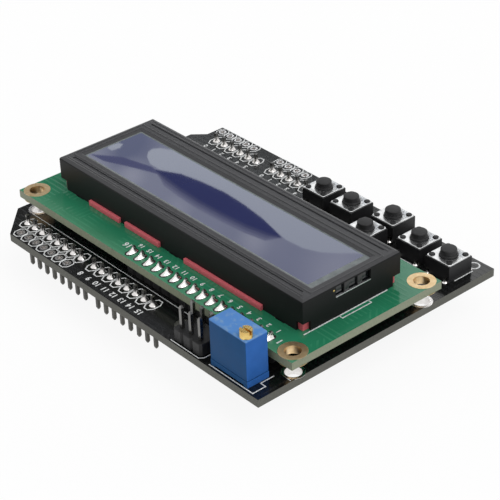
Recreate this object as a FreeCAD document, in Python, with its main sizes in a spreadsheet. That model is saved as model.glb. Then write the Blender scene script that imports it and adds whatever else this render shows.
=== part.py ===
import FreeCAD
import os
import Part
import Sketcher

# A character display on its own board, carried by a keypad shield that plugs onto a controller board.
# Lengths are millimetres. +X runs right and +Y up the display as it is read, +Z comes out of its face.
# The origin lies below the middle of the boards, at the tips of the pins that plug in.

doc = FreeCAD.newDocument("lcd_keypad_shield")
sheet = doc.addObject("Spreadsheet::Sheet", "sizes")

# The two boards
board_thickness = 1.6
shield_x = 0.35
shield_length = 80.0
shield_width = 58.0
back_corner_length = 7.0
back_corner_width = 6.6
front_step_length = 2.4
front_step_width = 4.3
front_step_bevel = 2.6
lcd_x = -0.35
lcd_y = 3.95
lcd_length = 80.0
lcd_width = 36.0
lcd_hole_x = 37.5
lcd_hole_y = 15.5
lcd_hole_radius = 1.6
shield_hole_sides = 8
shield_hole_radius = 1.7
carrier_hole_radius = 1.6
carrier_back_x = -14.0
carrier_side_x = 36.76
carrier_side_y = 8.89
carrier_front_y = -19.05

# Pin rows
pitch = 2.54
pin_side = 0.64
pin_play = 0.03
pin_tip_side = 0.34
pin_tip_height = 0.4
insulator_width = 2.5
insulator_height = 2.54
pin_reach = 5.36
pin_stub = 1.9
pin_tail = 1.0
header_y = 24.13
digital_low_x = 34.2
digital_high_x = 12.36
digital_count = 8
analog_x = 34.2
power_x = 16.43
analog_count = 6
lcd_pin_x = -32.0
lcd_pin_count = 16
lcd_pin_stub = 1.24
lcd_header_play = 0.26
program_x = -17.55
program_y = 24.46
program_pin_height = 7.15
program_columns = 3
program_rows = 2

# Solder joints and the rows of bare plated holes beside the headers
solder_base = 0.9
solder_top = 0.45
solder_height = 1.35
lcd_solder_base = 1.0
lcd_solder_height = 0.95
spare_hole_sides = 6
spare_hole_radius = 0.5
spare_digital_x = 32.2
spare_digital_y = 27.2
spare_digital_count = 7
spare_front_y = -27.6
spare_analog_x = 36.3
spare_analog_count = 5
spare_power_x = 17.9
spare_power_count = 4

# The display: a folded metal frame over glass, films, light guide and rubber connectors
bezel_length = 70.4
bezel_width = 23.4
bezel_height = 6.7
bezel_sheet = 0.45
bezel_bend = 0.6
bezel_shift_y = -0.65
window_length = 66.6
window_width = 15.2
window_shift_y = 0.3
rib_groove_width = 0.5
rib_groove_depth = 0.12
rib_groove_length = 66.0
rib_groove_y = 9.7
recess_height = 1.1
recess_left_x = -14.175
recess_left_length = 21.35
recess_middle_x = 9.05
recess_middle_length = 10.4
recess_right_x = 20.775
recess_right_length = 9.55
corner_notch_length = 1.8
corner_notch_height = 2.0
side_slot_y = -0.22
side_slot_width = 8.35
side_slot_low = 4.1
side_slot_height = 2.05
tab_width = 2.2
tab_x = 29.2
tab_tail = 0.9
tab_twist = 35
tab_play = 0.15
glass_thickness = 1.1
glass_play = 0.2
glass_ledge = 2.4
polarizer_thickness = 0.2
polarizer_margin = 0.7
diffuser_thickness = 0.15
strip_width = 1.9
strip_play = 0.1
lamp_length = 1.6
lamp_width = 8.0
lamp_height = 2.2
lamp_play = 0.2
blob_sides = 10
blob_radius = 4.8
blob_height = 1.1
blob_x = 13.0
blob_y = -1.0
chip_length = 1.6
chip_width = 0.8
chip_height = 0.5
chip_x = 24.0
chip_y = 6.0
chip_spacing = 2.2
chip_count = 6

# The contrast trimmer, with its screw, worm wheel and three leads
trimmer_x = -31.325
trimmer_y = 25.8
trimmer_length = 9.53
trimmer_width = 4.83
trimmer_lift = 0.3
trimmer_base_height = 1.0
trimmer_case_height = 8.3
trimmer_wall = 0.5
trimmer_roof = 0.8
trimmer_edge = 0.25
trimmer_foot_width = 1.0
screw_x = -3.575
screw_y = 1.25
screw_head_radius = 1.15
screw_head_height = 1.4
screw_slot_width = 0.45
screw_slot_depth = 0.7
screw_shaft_radius = 0.8
screw_play = 0.05
shaft_sides = 8
screw_bore_sides = 10
wheel_radius = 2.9
wheel_width = 1.0
wheel_play = 0.12
wheel_axle_radius = 0.4
wheel_sides = 12
wheel_height = 4.0

# The six push buttons and where each stands
button_side = 6.0
button_body_height = 3.3
button_wall_floor = 1.55
button_well_sides = 6
button_well_radius = 2.45
cover_side = 5.8
cover_thickness = 0.3
cover_tab_width = 2.4
cover_tab_height = 1.5
cover_tab_thickness = 0.2
cover_hole_sides = 12
rivet_sides = 4
rivet_radius = 0.45
rivet_play = 0.03
rivet_head = 0.2
rivet_offset = 2.15
plunger_flange_radius = 2.15
plunger_flange_height = 0.85
plunger_flange_gap = 0.02
plunger_sides = 12
plunger_radius = 1.72
plunger_step_height = 0.4
plunger_top_radius = 1.55
plunger_top_height = 1.4
plunger_play = 0.08
plunger_travel = 0.25
spring_reach = 1.9
spring_top_reach = 1.1
spring_width = 2.0
spring_sheet = 0.1
spring_gap = 0.03
rail_x = 2.25
rail_width = 0.6
rail_thickness = 0.3
rail_height = 0.7
rail_play = 0.02
leg_tail = 0.9
leg_play = 0.1
select_x = -34.27
select_y = -22.41
left_x = -26.4
left_y = -22.82
down_x = -17.24
down_y = -25.09
up_x = -16.9
up_y = -18.0
right_x = -8.1
right_y = -22.9
reset_x = -0.25
reset_y = -23.0

named_sizes = {name: number for name, number in globals().items() if type(number) in (int, float)}
for place, (size_name, number) in enumerate(named_sizes.items(), 1):
    sheet.set(f"A{place}", size_name)
    sheet.set(f"B{place}", str(number))
    sheet.setAlias(f"B{place}", size_name)
doc.recompute()

# Levels up the stack, each worked out from the one below it
SHIELD_UNDER = "(sizes.pin_reach + sizes.insulator_height)"
SHIELD_TOP = f"({SHIELD_UNDER} + sizes.board_thickness)"
LCD_UNDER = f"({SHIELD_TOP} + sizes.insulator_height + sizes.lcd_header_play)"
LCD_TOP = f"({LCD_UNDER} + sizes.board_thickness)"
BEZEL_ROOF = "(sizes.bezel_height - sizes.bezel_sheet)"
FRONT_GLASS = f"({BEZEL_ROOF} - sizes.polarizer_thickness - sizes.glass_thickness)"
REAR_GLASS = f"({FRONT_GLASS} - sizes.glass_thickness)"
REAR_FILM = f"({REAR_GLASS} - sizes.polarizer_thickness)"
DIFFUSER = f"({REAR_FILM} - sizes.diffuser_thickness)"
PIN_HOLE = "(sizes.pin_side + 2 * sizes.pin_play)"
GLASS_LENGTH = "(sizes.bezel_length - 2 * sizes.bezel_sheet - 2 * sizes.glass_play)"
GLASS_WIDTH = "(sizes.bezel_width - 2 * sizes.bezel_sheet - 2 * sizes.glass_play)"
REAR_WIDTH = f"({GLASS_WIDTH} - 2 * sizes.glass_ledge)"
STRIP_Y = f"({GLASS_WIDTH} / 2 - sizes.strip_width / 2)"
LCD_MIDDLE_Y = "(sizes.lcd_y + sizes.bezel_shift_y)"
LCD_ROW_X = "(sizes.lcd_x + sizes.lcd_pin_x)"
LCD_ROW_Y = "(sizes.lcd_y + sizes.lcd_hole_y)"

# A body turned this way has its own Y axis pointing up, its Z along X and its X along Y
POSTS_UPRIGHT = FreeCAD.Rotation(FreeCAD.Vector(1, 1, 1), 120)

kept_bodies = []


def value(expression):
    """The number that an expression of sheet sizes gives now."""
    found = sheet.evalExpression(expression)
    return float(getattr(found, "Value", found))


def tie(feature, **expressions):
    """Ties properties of a feature to expressions of sheet sizes."""
    for name, expression in expressions.items():
        feature.setExpression(name, expression)


def move(feature, x, y, z):
    """Ties the place of a feature to expressions."""
    feature.setExpression("Placement.Base.x", x)
    feature.setExpression("Placement.Base.y", y)
    feature.setExpression("Placement.Base.z", z)


def new_body(name, x="0", y="0", z="0"):
    """Starts the body of one sub-part at its own place in the assembly."""
    body = doc.addObject("PartDesign::Body", name)
    body.Label = name
    body.AllowCompound = True
    move(body, x, y, z)
    kept_bodies.append(body)
    return body


def origin_feature(body, role):
    """A plane or axis of the body's own origin."""
    for feature in body.Origin.OriginFeatures:
        if feature.Role == role:
            return feature


def box(body, name, kind, length, width, height, x="0", y="0", z="0"):
    """An Additive or Subtractive box, centred on x and y with its underside at z."""
    feature = body.newObject(f"PartDesign::{kind}Box", name)
    tie(feature, Length=length, Width=width, Height=height)
    move(feature, f"({x}) - ({length}) / 2", f"({y}) - ({width}) / 2", z)
    return feature


def cylinder(body, name, kind, radius, height, x="0", y="0", z="0"):
    """An Additive or Subtractive upright cylinder."""
    feature = body.newObject(f"PartDesign::{kind}Cylinder", name)
    tie(feature, Radius=radius, Height=height)
    move(feature, x, y, z)
    return feature


def prism(body, name, kind, sides, radius, height, x="0", y="0", z="0"):
    """An Additive or Subtractive upright prism of so many sides."""
    feature = body.newObject(f"PartDesign::{kind}Prism", name)
    tie(feature, Polygon=sides, Circumradius=radius, Height=height)
    move(feature, x, y, z)
    return feature


def post(body, name, kind, x, y, low, high, foot, head):
    """An Additive or Subtractive square post in an upright body, with half widths at its foot and head."""
    feature = body.newObject(f"PartDesign::{kind}Wedge", name)
    tie(feature, Ymin=low, Ymax=high)
    for across, middle in (("Z", x), ("X", y)):
        for end, reach in (("", foot), ("2", head)):
            feature.setExpression(f"{across}{end}min", f"({middle}) - {reach}")
            feature.setExpression(f"{across}{end}max", f"({middle}) + {reach}")
    return feature


def outline(body, name, points, plane="XY_Plane", lift="0"):
    """A closed sketch of straight lines, with each corner tied to its own pair of expressions."""
    sketch = body.newObject("Sketcher::SketchObject", name)
    sketch.AttachmentSupport = [(origin_feature(body, plane), "")]
    sketch.MapMode = "FlatFace"
    sketch.setExpression("AttachmentOffset.Base.z", lift)
    corners = [FreeCAD.Vector(value(x), value(y), 0) for x, y in points]
    for index, corner in enumerate(corners):
        following = corners[(index + 1) % len(corners)]
        sketch.addGeometry(Part.LineSegment(corner, following), False)
    for index in range(len(points)):
        following = (index + 1) % len(points)
        sketch.addConstraint(Sketcher.Constraint("Coincident", index, 2, following, 1))
    for index, (x, y) in enumerate(points):
        tie_corner(sketch, index, "DistanceX", x)
        tie_corner(sketch, index, "DistanceY", y)
    return sketch


def tie_corner(sketch, index, kind, expression):
    """Holds the start of one sketch line at a distance from the sketch's origin."""
    number = sketch.addConstraint(
        Sketcher.Constraint(kind, -1, 1, index, 1, value(expression))
    )
    label = f"corner_{index}_{kind[-1].lower()}"
    sketch.renameConstraint(number, label)
    sketch.setExpression("Constraints." + label, expression)


def pad(body, name, sketch, length):
    """Raises a sketch along its normal."""
    feature = body.newObject("PartDesign::Pad", name)
    feature.Profile = sketch
    tie(feature, Length=length)
    return feature


def row(body, name, features, axis, length, count, backwards=False):
    """Repeats features evenly along one axis of the body, over a whole length."""
    pattern = body.newObject("PartDesign::LinearPattern", name)
    pattern.Originals = features
    pattern.Direction = (origin_feature(body, axis), [""])
    pattern.Reversed = backwards
    tie(pattern, Length=length, Occurrences=count)
    body.Tip = pattern
    return pattern


def grid(body, name, features, length_x, count_x, length_y, count_y, backwards=False):
    """Repeats features in rows and columns along the body's X and Y axes."""
    pattern = row(body, name, features, "X_Axis", length_x, count_x, backwards)
    pattern.Direction2 = (origin_feature(body, "Y_Axis"), [""])
    tie(pattern, Length2=length_y, Occurrences2=count_y)
    return pattern


def post_row(body, name, features, count, backwards=False, rows="1"):
    """Repeats the posts of an upright body along X by the pitch, and along Y if there are more rows."""
    pattern = row(body, name, features, "Z_Axis", pin_span(count), count, backwards)
    pattern.Direction2 = (origin_feature(body, "X_Axis"), [""])
    tie(pattern, Length2=pin_span(rows), Occurrences2=rows)


def pin_span(count):
    """The length from the first pin of a row to its last."""
    return f"({count} - 1) * sizes.pitch"


def pin_holes(body, name, x, y, count):
    """A row of the square holes that pins leave in a board."""
    hole = box(body, name, "Subtractive", PIN_HOLE, PIN_HOLE, "sizes.board_thickness", x, y)
    row(body, name + "_row", [hole], "X_Axis", pin_span(count), count)


def drill(name, x, y, width, depth, count_x="1", step_x="sizes.pitch", count_y="1", step_y="sizes.pitch"):
    """Square cutters in rows and columns, from the front left one, as tall as the shield is thick."""
    body = doc.addObject("PartDesign::Body", name)
    body.AllowCompound = True
    move(body, x, y, SHIELD_UNDER)
    cutter = box(body, name + "_cutter", "Additive", width, depth, "sizes.board_thickness")
    drill_grid(body, name, cutter, count_x, step_x, count_y, step_y)
    return body


def drill_round(name, x, y, sides, radius, count_x="1", step_x="sizes.pitch", count_y="1", step_y="0"):
    """Upright round cutters like drill's, or prisms where a number of sides is given."""
    body = doc.addObject("PartDesign::Body", name)
    body.AllowCompound = True
    move(body, x, y, SHIELD_UNDER)
    if sides:
        cutter = prism(body, name + "_cutter", "Additive", sides, radius, "sizes.board_thickness")
    else:
        cutter = cylinder(body, name + "_cutter", "Additive", radius, "sizes.board_thickness")
    drill_grid(body, name, cutter, count_x, step_x, count_y, step_y)
    return body


def drill_grid(body, name, cutter, count_x, step_x, count_y, step_y):
    """Repeats a cutter along X and Y."""
    grid(
        body, name + "_grid", [cutter], f"({count_x} - 1) * ({step_x})", count_x,
        f"({count_y} - 1) * ({step_y})", count_y,
    )


def shield_outline(body):
    """The shield's edge: bevelled at the back right, stepped at the front right."""
    left = "sizes.shield_x - sizes.shield_length / 2"
    right = "sizes.shield_x + sizes.shield_length / 2"
    front = "-sizes.shield_width / 2"
    back = "sizes.shield_width / 2"
    step_x = f"{right} - sizes.front_step_length"
    step_y = f"{front} + sizes.front_step_width"
    points = [
        (left, front),
        (step_x, front),
        (step_x, step_y),
        (right, f"{step_y} + sizes.front_step_bevel"),
        (right, f"{back} - sizes.back_corner_width"),
        (f"{right} - sizes.back_corner_length", back),
        (left, back),
    ]
    return outline(body, "shield_outline", points)


def button_places():
    """The name and centre of each push button."""
    names = ["select", "left", "down", "up", "right", "reset"]
    return [(name, f"sizes.{name}_x", f"sizes.{name}_y") for name in names]


def row_start(x, count):
    """The left end of a row whose named pin is its right end."""
    return f"{x} - {pin_span(count)}"


def pin_cutters():
    """Cutters for every pin that is soldered into the shield."""
    digital = "sizes.digital_count"
    analog = "sizes.analog_count"
    rows = [
        ("digital_low_holes", row_start("sizes.digital_low_x", digital), "sizes.header_y", digital, "1"),
        ("digital_high_holes", row_start("sizes.digital_high_x", digital), "sizes.header_y", digital, "1"),
        ("analog_holes", row_start("sizes.analog_x", analog), "-sizes.header_y", analog, "1"),
        ("power_holes", row_start("sizes.power_x", analog), "-sizes.header_y", analog, "1"),
        ("lcd_holes", LCD_ROW_X, LCD_ROW_Y, "sizes.lcd_pin_count", "1"),
        (
            "program_holes", row_start("sizes.program_x", "sizes.program_columns"), "sizes.program_y",
            "sizes.program_columns", "sizes.program_rows",
        ),
        ("trimmer_holes", "sizes.trimmer_x - sizes.pitch", "sizes.trimmer_y", "3", "1"),
    ]
    return [
        drill(name, x, y, PIN_HOLE, PIN_HOLE, count, count_y=rows_y)
        for name, x, y, count, rows_y in rows
    ]


def button_leg_cutters():
    """Cutters for the four legs of each push button."""
    width = "(sizes.rail_width + 2 * sizes.leg_play)"
    depth = "(sizes.rail_thickness + 2 * sizes.leg_play)"
    step_y = "(sizes.button_side + sizes.rail_thickness + 2 * sizes.rail_play)"
    return [
        drill(
            name + "_leg_slots", f"{x} - sizes.rail_x", f"{y} - {step_y} / 2", width, depth,
            "2", "2 * sizes.rail_x", "2", step_y,
        )
        for name, x, y in button_places()
    ]


def spare_cutters():
    """Cutters for the rows of bare plated holes beside the headers."""
    rows = [
        ("spare_digital", "sizes.spare_digital_x", "sizes.spare_digital_y", "sizes.spare_digital_count"),
        ("spare_analog", "sizes.spare_analog_x", "sizes.spare_front_y", "sizes.spare_analog_count"),
        ("spare_power", "sizes.spare_power_x", "sizes.spare_front_y", "sizes.spare_power_count"),
    ]
    return [
        drill_round(
            name, row_start(x, count), y, "sizes.spare_hole_sides", "sizes.spare_hole_radius", count
        )
        for name, x, y, count in rows
    ]


def screw_cutters():
    """Cutters for the holes that take screws, under the display's board and over the controller's."""
    carrier = "sizes.carrier_hole_radius"
    return [
        drill_round(
            "lcd_screw_holes", "sizes.lcd_x - sizes.lcd_hole_x", "sizes.lcd_y - sizes.lcd_hole_y",
            "sizes.shield_hole_sides", "sizes.shield_hole_radius",
            "2", "2 * sizes.lcd_hole_x", "2", "2 * sizes.lcd_hole_y",
        ),
        drill_round("carrier_back_hole", "sizes.carrier_back_x", "sizes.header_y", "", carrier),
        drill_round(
            "carrier_side_hole", "sizes.carrier_side_x", "sizes.carrier_side_y",
            "sizes.shield_hole_sides", carrier,
        ),
        drill_round("carrier_front_hole", "sizes.carrier_side_x", "sizes.carrier_front_y", "", carrier),
    ]


def shield_board():
    """The lower board, with every hole that a lead or a fastener needs."""
    plate = doc.addObject("PartDesign::Body", "shield_plate")
    move(plate, "0", "0", SHIELD_UNDER)
    pad(plate, "shield_blank", shield_outline(plate), "sizes.board_thickness")
    cutters = doc.addObject("Part::Compound", "shield_cutters")
    cutters.Links = pin_cutters() + button_leg_cutters() + spare_cutters() + screw_cutters()
    board = doc.addObject("Part::Cut", "shield_board")
    board.Label = "shield_board"
    board.Base = plate
    board.Tool = cutters
    kept_bodies.append(board)


def lcd_board():
    """The display's own board, with its pin row, corner holes and slots for the frame's tabs."""
    body = new_body("lcd_board", "sizes.lcd_x", "sizes.lcd_y", LCD_UNDER)
    box(
        body, "lcd_plate", "Additive", "sizes.lcd_length", "sizes.lcd_width", "sizes.board_thickness"
    )
    pin_holes(body, "pin_holes", "sizes.lcd_pin_x", "sizes.lcd_hole_y", "sizes.lcd_pin_count")
    corner = cylinder(
        body, "corner_hole", "Subtractive", "sizes.lcd_hole_radius", "sizes.board_thickness",
        "-sizes.lcd_hole_x", "-sizes.lcd_hole_y",
    )
    grid(body, "corner_holes", [corner], "2 * sizes.lcd_hole_x", "2", "2 * sizes.lcd_hole_y", "2")
    slot = box(
        body, "tab_slot", "Subtractive", "sizes.tab_width + 2 * sizes.tab_play",
        "sizes.bezel_sheet + 2 * sizes.tab_play", "sizes.board_thickness",
        "-sizes.tab_x", "sizes.bezel_shift_y - (sizes.bezel_width - sizes.bezel_sheet) / 2",
    )
    grid(
        body, "tab_slots", [slot], "2 * sizes.tab_x", "3", "sizes.bezel_width - sizes.bezel_sheet", "2"
    )


def lcd_bezel():
    """The folded frame: rounded roof with a window, recessed lower edges, side slots, twisted tabs."""
    body = new_body("lcd_bezel", "sizes.lcd_x", LCD_MIDDLE_Y, LCD_TOP)
    half_length = "sizes.bezel_length / 2"
    half_width = "sizes.bezel_width / 2"
    footprint = [
        (f"-{half_length}", f"-{half_width}"),
        (half_length, f"-{half_width}"),
        (half_length, half_width),
        (f"-{half_length}", half_width),
    ]
    block = pad(body, "block", outline(body, "footprint", footprint), "sizes.bezel_height")
    doc.recompute()
    bends = []
    for number, edge in enumerate(block.Shape.Edges, 1):
        if edge.BoundBox.ZMin > value("sizes.bezel_height / 2"):
            bends.append(f"Edge{number}")
    fillet = body.newObject("PartDesign::Fillet", "bends")
    fillet.Base = (block, bends)
    tie(fillet, Radius="sizes.bezel_bend")
    box(
        body, "hollow", "Subtractive", "sizes.bezel_length - 2 * sizes.bezel_sheet",
        "sizes.bezel_width - 2 * sizes.bezel_sheet", BEZEL_ROOF,
    )
    box(
        body, "window", "Subtractive", "sizes.window_length", "sizes.window_width",
        "sizes.bezel_height", "0", "sizes.window_shift_y",
    )
    for side in ("left", "middle", "right"):
        box(
            body, f"recess_{side}", "Subtractive", f"sizes.recess_{side}_length",
            "sizes.bezel_width", "sizes.recess_height", f"sizes.recess_{side}_x",
        )
    notch = box(
        body, "corner_notch", "Subtractive", "sizes.corner_notch_length", "sizes.corner_notch_length",
        "sizes.corner_notch_height", f"-{half_length} + sizes.corner_notch_length / 2",
        f"-{half_width} + sizes.corner_notch_length / 2",
    )
    grid(
        body, "corner_notches", [notch], "sizes.bezel_length - sizes.corner_notch_length", "2",
        "sizes.bezel_width - sizes.corner_notch_length", "2",
    )
    box(
        body, "side_slots", "Subtractive", "sizes.bezel_length", "sizes.side_slot_width",
        "sizes.side_slot_height", "0", "sizes.side_slot_y", "sizes.side_slot_low",
    )
    groove = box(
        body, "rib_groove", "Subtractive", "sizes.rib_groove_length", "sizes.rib_groove_width",
        "sizes.rib_groove_depth", "0", "-sizes.rib_groove_y",
        "sizes.bezel_height - sizes.rib_groove_depth",
    )
    row(body, "rib_grooves", [groove], "Y_Axis", "2 * sizes.rib_groove_y", "2")
    tab_y = "-(sizes.bezel_width - sizes.bezel_sheet) / 2"
    tab_depth = "(sizes.board_thickness + sizes.tab_tail)"
    tab = box(
        body, "tab", "Additive", "sizes.tab_width", "sizes.bezel_sheet", tab_depth,
        "-sizes.tab_x", tab_y, f"-{tab_depth}",
    )
    turn = "(sizes.tab_twist * 1 deg)"
    along = (f"sizes.tab_width / 2 * cos({turn})", f"sizes.tab_width / 2 * sin({turn})")
    across = (f"sizes.bezel_sheet / 2 * sin({turn})", f"sizes.bezel_sheet / 2 * cos({turn})")
    twisted = []
    for end, side in ((-1, -1), (1, -1), (1, 1), (-1, 1)):
        corner_x = f"-sizes.tab_x + {end} * {along[0]} - {side} * {across[0]}"
        corner_y = f"{tab_y} + {end} * {along[1]} + {side} * {across[1]}"
        twisted.append((corner_x, corner_y))
    twist_sketch = outline(body, "tab_end_outline", twisted, lift=f"-{tab_depth}")
    twist = pad(body, "tab_end", twist_sketch, "sizes.tab_tail - sizes.tab_play")
    grid(
        body, "tabs", [tab, twist], "2 * sizes.tab_x", "3", "sizes.bezel_width - sizes.bezel_sheet", "2"
    )


def layer(name, length, width, height, z, x="0", y="0"):
    """One flat piece of the display, at a level above its board."""
    body = new_body(name, "sizes.lcd_x", LCD_MIDDLE_Y, f"{LCD_TOP} + {z}")
    box(body, name + "_plate", "Additive", length, width, height, x, y)


def display_stack():
    """Glass, films, light guide, lamp and rubber strips, stacked under the frame's roof."""
    film_length = f"{GLASS_LENGTH} - 2 * sizes.polarizer_margin"
    film_width = f"{REAR_WIDTH} - 2 * sizes.polarizer_margin"
    layer(
        "front_polarizer", film_length, film_width, "sizes.polarizer_thickness",
        f"{FRONT_GLASS} + sizes.glass_thickness", y="sizes.window_shift_y",
    )
    layer("front_glass", GLASS_LENGTH, GLASS_WIDTH, "sizes.glass_thickness", FRONT_GLASS)
    layer("rear_glass", GLASS_LENGTH, REAR_WIDTH, "sizes.glass_thickness", REAR_GLASS)
    layer("rear_polarizer", film_length, film_width, "sizes.polarizer_thickness", REAR_FILM)
    lamp_room = "(sizes.lamp_length + sizes.lamp_play)"
    guide_length = f"({GLASS_LENGTH} - {lamp_room})"
    guide_x = f"-{lamp_room} / 2"
    layer("diffuser_film", guide_length, REAR_WIDTH, "sizes.diffuser_thickness", DIFFUSER, guide_x)
    layer("light_guide", guide_length, REAR_WIDTH, DIFFUSER, "0", guide_x)
    layer(
        "backlight_lamp", "sizes.lamp_length", "sizes.lamp_width", "sizes.lamp_height", "0",
        f"({GLASS_LENGTH} - sizes.lamp_length) / 2",
    )
    for name, y in (("rubber_strip_back", STRIP_Y), ("rubber_strip_front", f"-{STRIP_Y}")):
        layer(name, f"{GLASS_LENGTH} - 2 * sizes.strip_play", "sizes.strip_width", FRONT_GLASS, "0", "0", y)


def under_board_chips():
    """What sits under the display's board: two epoxy drops over the driver chips, and chip resistors."""
    body = new_body("driver_chip_caps", "sizes.lcd_x", "sizes.lcd_y", f"{LCD_UNDER} - sizes.blob_height")
    drop = prism(
        body, "drop", "Additive", "sizes.blob_sides", "sizes.blob_radius", "sizes.blob_height",
        "-sizes.blob_x", "sizes.blob_y",
    )
    row(body, "drops", [drop], "X_Axis", "2 * sizes.blob_x", "2")
    resistors = new_body(
        "lcd_chip_resistors", "sizes.lcd_x", "sizes.lcd_y", f"{LCD_UNDER} - sizes.chip_height"
    )
    chip = box(
        resistors, "chip", "Additive", "sizes.chip_length", "sizes.chip_width", "sizes.chip_height",
        "sizes.chip_x", "sizes.chip_y",
    )
    row(
        resistors, "chips", [chip], "Y_Axis", "(sizes.chip_count - 1) * sizes.chip_spacing",
        "sizes.chip_count", True,
    )


def pin_row(name, x, y, z, count, low, high, tip_up, backwards, rows="1"):
    """One header's square pins with bevelled tips, measured up and down from the seat of its insulator."""
    body = new_body(name, x, y, z)
    body.Placement.Rotation = POSTS_UPRIGHT
    wide = "(sizes.pin_side / 2)"
    narrow = "(sizes.pin_tip_side / 2)"
    if tip_up:
        bend = f"{high} - sizes.pin_tip_height"
        lower = post(body, "shank", "Additive", "0", "0", low, bend, wide, wide)
        upper = post(body, "tip", "Additive", "0", "0", bend, high, wide, narrow)
    else:
        bend = f"{low} + sizes.pin_tip_height"
        lower = post(body, "tip", "Additive", "0", "0", low, bend, narrow, wide)
        upper = post(body, "shank", "Additive", "0", "0", bend, high, wide, wide)
    post_row(body, name + "_row", [lower, upper], count, backwards, rows)


def insulator(name, x, y, z, count, backwards, rows="1"):
    """The plastic strip that carries a header's pins."""
    body = new_body(name, x, y, z)
    centre = f"{'-' if backwards else ''}({pin_span(count)}) / 2"
    box(
        body, "strip", "Additive", f"{count} * sizes.pitch",
        f"(sizes.insulator_width + {pin_span(rows)})", "sizes.insulator_height",
        centre, f"{pin_span(rows)} / 2",
    )
    hole = box(body, "hole", "Subtractive", PIN_HOLE, PIN_HOLE, "sizes.insulator_height")
    grid(
        body, "holes", [hole], pin_span(count), count, pin_span(rows), rows, backwards
    )


def solder_row(body, name, x, y, count, base, height, backwards):
    """A row of solder joints, each sloping up to the pin that it holds."""
    joint = post(body, name, "Additive", x, y, "0", height, base, "sizes.solder_top")
    half_hole = f"({PIN_HOLE} / 2)"
    bore = post(body, name + "_bore", "Subtractive", x, y, "0", height, half_hole, half_hole)
    post_row(body, name + "_row", [joint, bore], count, backwards)


def stack_headers():
    """The four rows of pins below the shield that plug into the controller board."""
    rows = [
        ("digital_low", "sizes.digital_low_x", "sizes.header_y", "sizes.digital_count"),
        ("digital_high", "sizes.digital_high_x", "sizes.header_y", "sizes.digital_count"),
        ("analog", "sizes.analog_x", "-sizes.header_y", "sizes.analog_count"),
        ("power", "sizes.power_x", "-sizes.header_y", "sizes.analog_count"),
    ]
    low = "-(sizes.insulator_height + sizes.pin_reach)"
    high = "sizes.board_thickness + sizes.pin_stub"
    solder = new_body("header_solder", z=SHIELD_TOP)
    solder.Placement.Rotation = POSTS_UPRIGHT
    for name, x, y, count in rows:
        insulator(name + "_insulator", x, y, "sizes.pin_reach", count, True)
        pin_row(name + "_pins", x, y, SHIELD_UNDER, count, low, high, False, True)
        solder_row(
            solder, name + "_joint", x, y, count, "sizes.solder_base", "sizes.solder_height", True
        )


def lcd_header():
    """The sixteen pins that join the display's board to the shield."""
    count = "sizes.lcd_pin_count"
    insulator("lcd_insulator", LCD_ROW_X, LCD_ROW_Y, SHIELD_TOP, count, False)
    low = "-(sizes.board_thickness + sizes.pin_tail)"
    high = f"{LCD_TOP} - {SHIELD_TOP} + sizes.lcd_pin_stub"
    pin_row("lcd_pins", LCD_ROW_X, LCD_ROW_Y, SHIELD_TOP, count, low, high, True, False)
    solder = new_body("lcd_solder", LCD_ROW_X, LCD_ROW_Y, LCD_TOP)
    solder.Placement.Rotation = POSTS_UPRIGHT
    solder_row(
        solder, "lcd_joint", "0", "0", count, "sizes.lcd_solder_base", "sizes.lcd_solder_height", False
    )


def program_header():
    """The two by three block of bare pins beside the trimmer."""
    count = "sizes.program_columns"
    rows = "sizes.program_rows"
    insulator(
        "program_insulator", "sizes.program_x", "sizes.program_y", SHIELD_TOP, count, True, rows
    )
    low = "-(sizes.board_thickness + sizes.pin_tail)"
    pin_row(
        "program_pins", "sizes.program_x", "sizes.program_y", SHIELD_TOP, count, low,
        "sizes.program_pin_height", True, True, rows,
    )


def trimmer_case():
    """The trimmer's moulded shell, hollow for the wheel and open below for the base."""
    body = new_body(
        "trimmer_case", "sizes.trimmer_x", "sizes.trimmer_y",
        f"{SHIELD_TOP} + sizes.trimmer_lift + sizes.trimmer_base_height",
    )
    half_length = "sizes.trimmer_length / 2"
    half_width = "sizes.trimmer_width / 2"
    footprint = [
        (f"-{half_length}", f"-{half_width}"),
        (half_length, f"-{half_width}"),
        (half_length, half_width),
        (f"-{half_length}", half_width),
    ]
    block = pad(body, "block", outline(body, "footprint", footprint), "sizes.trimmer_case_height")
    doc.recompute()
    rims = []
    for number, edge in enumerate(block.Shape.Edges, 1):
        if edge.BoundBox.ZMin > value("sizes.trimmer_case_height / 2"):
            rims.append(f"Edge{number}")
    bevel = body.newObject("PartDesign::Chamfer", "top_bevel")
    bevel.Base = (block, rims)
    tie(bevel, Size="sizes.trimmer_edge")
    box(
        body, "hollow", "Subtractive", "sizes.trimmer_length - 2 * sizes.trimmer_wall",
        "sizes.trimmer_width - 2 * sizes.trimmer_wall", "sizes.trimmer_case_height - sizes.trimmer_roof",
    )
    prism(
        body, "screw_bore", "Subtractive", "sizes.screw_bore_sides",
        "(sizes.screw_shaft_radius + sizes.screw_play) / cos(180 deg / sizes.screw_bore_sides)",
        "sizes.trimmer_case_height", "sizes.screw_x", "sizes.screw_y",
    )


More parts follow.
